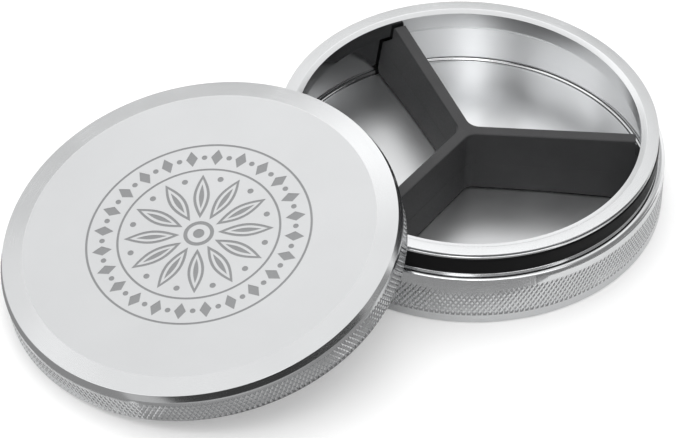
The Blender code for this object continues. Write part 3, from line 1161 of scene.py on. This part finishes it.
def make_reflection_sheet(name, corners, height, brightness):
    """A flat glowing sheet that only polished metal sees: painted shade or reflection."""
    shape = bmesh.new()
    shape.faces.new([shape.verts.new(Vector((x, y, height)) * MM) for x, y in corners])
    bmesh.ops.recalc_face_normals(shape, faces=shape.faces)
    material, tree, shader = new_material(name + "_painted_reflection")
    tree.nodes.remove(shader)
    # The sheet glows at a set brightness and no lamp lights it: its grey is painted shade or
    # reflection.
    glow = add(tree, "ShaderNodeEmission", {"Color": linear("#ffffff"), "Strength": brightness})
    tree.links.new(glow.outputs[0], tree.nodes["Material Output"].inputs["Surface"])
    item = to_object(shape, name, (material,))
    item.visible_camera = False
    item.visible_diffuse = False
    item.visible_shadow = False


for name, corners, height, brightness in REFLECTION_SHEETS:
    make_reflection_sheet(name, corners, height, brightness)
print("cards:", [card[0] for card in REFLECTION_SHEETS])

# %% [markdown]
# ## Lamps
#
# A large round softbox hangs flat overhead. The lid's disc and the can's rim
# mirror it, so it sets how pale they are. A picture of a sky could do the
# same, but lamps can be moved one by one. Smaller flat lamps beside it carry
# the light on to where the lid's ring and the rim look past it. Each hangs a
# few millimetres above or below the others, because lamps that lay in one
# plane did not add up in Cycles. A tall narrow strip in front lights the
# inside of the can, a softbox at the left lights the lid's skirt, and a small
# one close in front of the can's mouth is there for the inner wall to mirror.
# Two suns that the metal doesn't mirror light the floor and the rubber, and
# cast the soft shadow. Places and sizes in the lists are millimetres.

# %% Lamps
DOWN = Vector((0.0, 0.0, -1.0))
BACK = Vector((0.0, 1.0, 0.0))
FLAT_LAMPS = (
    ("sky_softbox", (-10, 95, 430), (780, 690), 0.655, "ELLIPSE"),
    ("rear_glow", (-150, 365, 424), (420, 200), 0.48, "RECTANGLE"),
    ("front_glow", (45, 392, 418), (190, 140), 0.2, "RECTANGLE"),
    ("left_glow", (-440, 190, 409), (180, 320), 0.55, "RECTANGLE"),
    ("right_glow", (365, 225, 412), (190, 290), 0.4, "RECTANGLE"),
    ("rear_softbox", (-62, 490, 406), (95, 70), 0.6, "RECTANGLE"),
)
AIMED_LAMPS = (
    ("front_strip", (-90, 52), 600, (130, 470), 1.6),
    ("left_softbox", (-153, 42), 700, (480, 330), 1.15),
)
SUNS = (("key", (105, 58), 40, 0.5), ("fill", (-90, 70), 110, 1.0))


def hang(name, data, place, facing):
    """Hang a lamp at a place, shining along a direction."""
    lamp = bpy.data.objects.new(name, data)
    bpy.context.scene.collection.objects.link(lamp)
    lamp.location = place
    lamp.rotation_mode = "QUATERNION"
    lamp.rotation_quaternion = facing.to_track_quat("-Z", "Y")
    lamp.visible_camera = False
    return lamp


def softbox(name, place, facing, size, brightness, outline="RECTANGLE"):
    """A flat lamp, with its size in millimetres and its brightness as a share of white."""
    width, height = size[0] * MM, size[1] * MM
    data = bpy.data.lights.new(name, "AREA")
    data.shape = outline
    data.size = width
    data.size_y = height
    area = width * height * (math.pi / 4 if outline == "ELLIPSE" else 1)
    data.energy = brightness * math.pi * area
    return hang(name, data, place, facing)


def soft_sun(name, angles, spread, strength):
    """A wide soft light for the floor and the rubber, which metal doesn't mirror."""
    data = bpy.data.lights.new(name, "SUN")
    data.angle = math.radians(spread)
    data.energy = strength
    out = direction(*angles)
    lamp = hang(name, data, out, -out)
    lamp.visible_glossy = False


for name, place, size, brightness, outline in FLAT_LAMPS:
    softbox(name, Vector(place) * MM, DOWN, size, brightness, outline)
for name, angles, distance, size, brightness in AIMED_LAMPS:
    out = direction(*angles)
    softbox(name, out * distance * MM, -out, size, brightness)
mouth = softbox("mouth_softbox", Vector((16, -46, 54)) * MM, BACK, (80, 36), 1.2)
mouth.visible_diffuse = False
for name, angles, spread, strength in SUNS:
    soft_sun(name, angles, spread, strength)

# %% [markdown]
# ## Finish
#
# The picture is shown with the plain Standard view.

# %% Finish
bpy.context.scene.view_settings.view_transform = "Standard"
